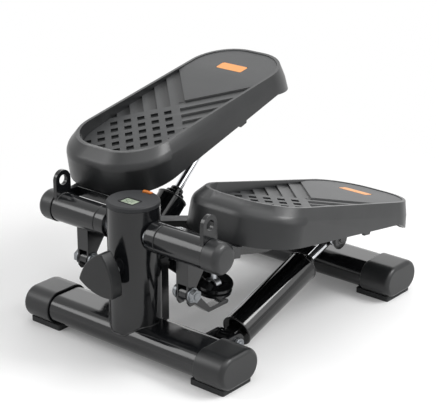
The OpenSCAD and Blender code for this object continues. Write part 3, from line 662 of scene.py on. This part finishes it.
def knuckle_washers(side):
    """The wide washers under the heads of the damper's upper pin."""
    pin = middle("upper_pin_" + side)
    low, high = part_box("clevis_" + side)
    for name, x, way in (("low", low.x, -1), ("high", high.x, 1)):
        bm = spun(WASHER, (way, 0, 0), (x, pin.y, pin.z), steps=48)
        place_piece("knuckle_washer_%s_%s" % (name, side), bm, PEDAL_BODY[side], "black_steel")


# how far the foot pads rise round their caps, and the grooves of their soles
FOOT_CUP = 3 * MM
GROOVE, LAND, MARGIN = 2.4 * MM, 4.2 * MM, 7 * MM
GROOVE_SIDE, GROOVE_DEEP = 0.5 * MM, 1.6 * MM


def foot_pad(node):
    """A rubber foot: a block with small round corners that cups its cap, its sole grooved."""
    low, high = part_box(node)
    high.z += FOOT_CUP
    size = high - low
    bm = bmesh.new()
    bmesh.ops.create_cube(bm, size=1)
    bmesh.ops.scale(bm, vec=size, verts=bm.verts)
    bmesh.ops.translate(bm, vec=(low + high) / 2, verts=bm.verts)
    corners = [e for e in bm.edges if abs(e.verts[0].co.z - e.verts[1].co.z) > size.z / 2]
    round_edges(bm, corners, width=3, segments=5, clamp=False)
    brim = [e for e in bm.edges if abs(e.verts[0].co.z - e.verts[1].co.z) < size.z / 2]
    round_edges(bm, brim, width=0.7, segments=2, clamp=False)

    def sole():
        """The faces that stand on the floor."""
        return [f for f in bm.faces if f.normal.z < -0.9]

    pitch = GROOVE + LAND
    count = int((size.x - 2 * MARGIN) / pitch)
    start = (low.x + high.x - count * pitch - GROOVE) / 2
    for i in range(count + 1):
        for cut in (start + i * pitch, start + i * pitch + GROOVE):
            bmesh.ops.bisect_plane(bm, geom=with_edges(sole()), dist=1e-6, plane_co=(cut, 0, 0),
                                   plane_no=(1, 0, 0))
    strips = []
    for f in sole():
        across = [v.co.x for v in f.verts]
        if abs(max(across) - min(across) - GROOVE) < 1e-5:
            strips.append(f)
    bmesh.ops.inset_individual(bm, faces=strips, thickness=GROOVE_SIDE, depth=-GROOVE_DEEP)
    stand_in(node, bm)


for node, width in EDGE_MM.items():
    eased(node, width)
for side in SIDES:
    pedal_shell(side)
    tread_plate(side)
    heel_mark(side)
    hub_cover(side)
    damper_trim(side)
    knuckle_washers(side)
    bracket_welds(side)
for corner in CORNERS:
    foot_pad("pad_" + corner)
post_weld()
display_frame()
display_digits("125")


# the floor: half its side and the distances between which it fades to plain white, in metres,
# and the share of white under the object
FLOOR_HALF, FLOOR_NEAR, FLOOR_FAR, FLOOR_LIFT = 9, 0.33, 0.8, 0.12
WHITE = (1, 1, 1, 1)
# the world's even light on the object
AMBIENT = 0.29
# area lights: place, what they face, width and height in metres, and watts
LIGHTS = {
    "left_front_softbox": ((-1.22, -1.28, 1.3), (0, -0.15, 0.15), (0.7, 1.0), 9),
    "back_left_panel": ((-1.9, 2.1, 1.15), (0, 0, 0.15), (2.6, 1.6), 12),
    "overhead_softbox": ((0.75, 0.1, 2.3), (0.35, 0, 0.1), (3.2, 3.2), 42),
    "right_back_softbox": ((1.45, 0.75, 1.8), (0.1, 0, 0.15), (0.9, 0.7), 23),
    "right_softbox": ((1.7, 0.5, 0.9), (0, 0, 0.15), (1.0, 1.0), 5),
}
# the camera: its turn round the object and its height in degrees, its place and its lens
CAMERA_AZIMUTH, CAMERA_ELEVATION = 39.95, 21.08
CAMERA_PLACE = (1.1722, -1.39630, 0.8530)
SENSOR_MM, LENS_MM = 36, 115.74


def seen_directly(tree):
    """1 for rays from the camera and in reflections or glass, 0 for light on the object."""
    path = add(tree, "ShaderNodeLightPath")
    clear = add(tree, "ShaderNodeMath",
                {0: path.outputs["Is Camera Ray"], 1: path.outputs["Is Transmission Ray"]},
                operation="MAXIMUM")
    seen = add(tree, "ShaderNodeMath",
               {0: clear.outputs[0], 1: path.outputs["Is Glossy Ray"]}, operation="MAXIMUM")
    return seen.outputs[0]


def make_floor():
    """White paper: it takes the shadow close by and fades to plain white further off."""
    mesh = bpy.data.meshes.new("floor")
    bm = bmesh.new()
    bmesh.ops.create_grid(bm, x_segments=1, y_segments=1, size=FLOOR_HALF)
    bm.to_mesh(mesh)
    bm.free()
    floor = bpy.data.objects.new("floor", mesh)
    bpy.context.scene.collection.objects.link(floor)
    mat, tree, place = start_material("white_studio_paper")
    reach = add(tree, "ShaderNodeVectorMath", {0: place}, operation="LENGTH")
    fade = add(tree, "ShaderNodeMapRange",
               {"Value": reach.outputs["Value"], "From Min": FLOOR_NEAR, "From Max": FLOOR_FAR,
                "To Min": FLOOR_LIFT}, interpolation_type="SMOOTHSTEP")
    share = add(tree, "ShaderNodeMath", {0: fade.outputs["Result"], 1: seen_directly(tree)},
                operation="MULTIPLY")
    paper = add(tree, "ShaderNodeBsdfPrincipled",
                {"Base Color": srgb("#fbfbfb"), "Roughness": 0.9})
    white = add(tree, "ShaderNodeEmission", {"Color": WHITE, "Strength": 1.0})
    mixed = add(tree, "ShaderNodeMixShader", {0: share.outputs[0], 1: paper.outputs["BSDF"],
                                              2: white.outputs["Emission"]})
    add(tree, "ShaderNodeOutputMaterial", {"Surface": mixed.outputs["Shader"]})
    mesh.materials.append(mat)


def make_world():
    """White to the eye and in reflections, with a low even light on the object."""
    world = bpy.data.worlds.new("studio")
    bpy.context.scene.world = world
    world.use_nodes = True
    tree = world.node_tree
    tree.nodes.clear()
    level = add(tree, "ShaderNodeMapRange",
                {"Value": seen_directly(tree), "To Min": AMBIENT, "To Max": 1.0})
    back = add(tree, "ShaderNodeBackground",
               {"Color": WHITE, "Strength": level.outputs["Result"]})
    add(tree, "ShaderNodeOutputWorld", {"Surface": back.outputs["Background"]})


def make_light(name, place, target, size, power):
    """A rectangular area light that faces its target."""
    data = bpy.data.lights.new(name, "AREA")
    data.shape = "RECTANGLE"
    data.size, data.size_y = size
    data.energy = power
    lamp = bpy.data.objects.new(name, data)
    lamp.location = place
    lamp.rotation_euler = (Vector(target) - Vector(place)).to_track_quat("-Z", "Y").to_euler()
    bpy.context.scene.collection.objects.link(lamp)


def make_camera():
    """The camera at the photograph's viewing angle."""
    data = bpy.data.cameras.new("camera")
    data.sensor_width = SENSOR_MM
    data.lens = LENS_MM
    cam = bpy.data.objects.new("camera", data)
    az, el = math.radians(CAMERA_AZIMUTH), math.radians(CAMERA_ELEVATION)
    back = Vector((math.sin(az) * math.cos(el), -math.cos(az) * math.cos(el), math.sin(el)))
    cam.location = CAMERA_PLACE
    cam.rotation_euler = back.to_track_quat("Z", "Y").to_euler()
    bpy.context.scene.collection.objects.link(cam)
    bpy.context.scene.camera = cam


make_floor()
make_world()
for name, setting in LIGHTS.items():
    make_light(name, *setting)
make_camera()
bpy.context.scene.view_settings.view_transform = "Standard"
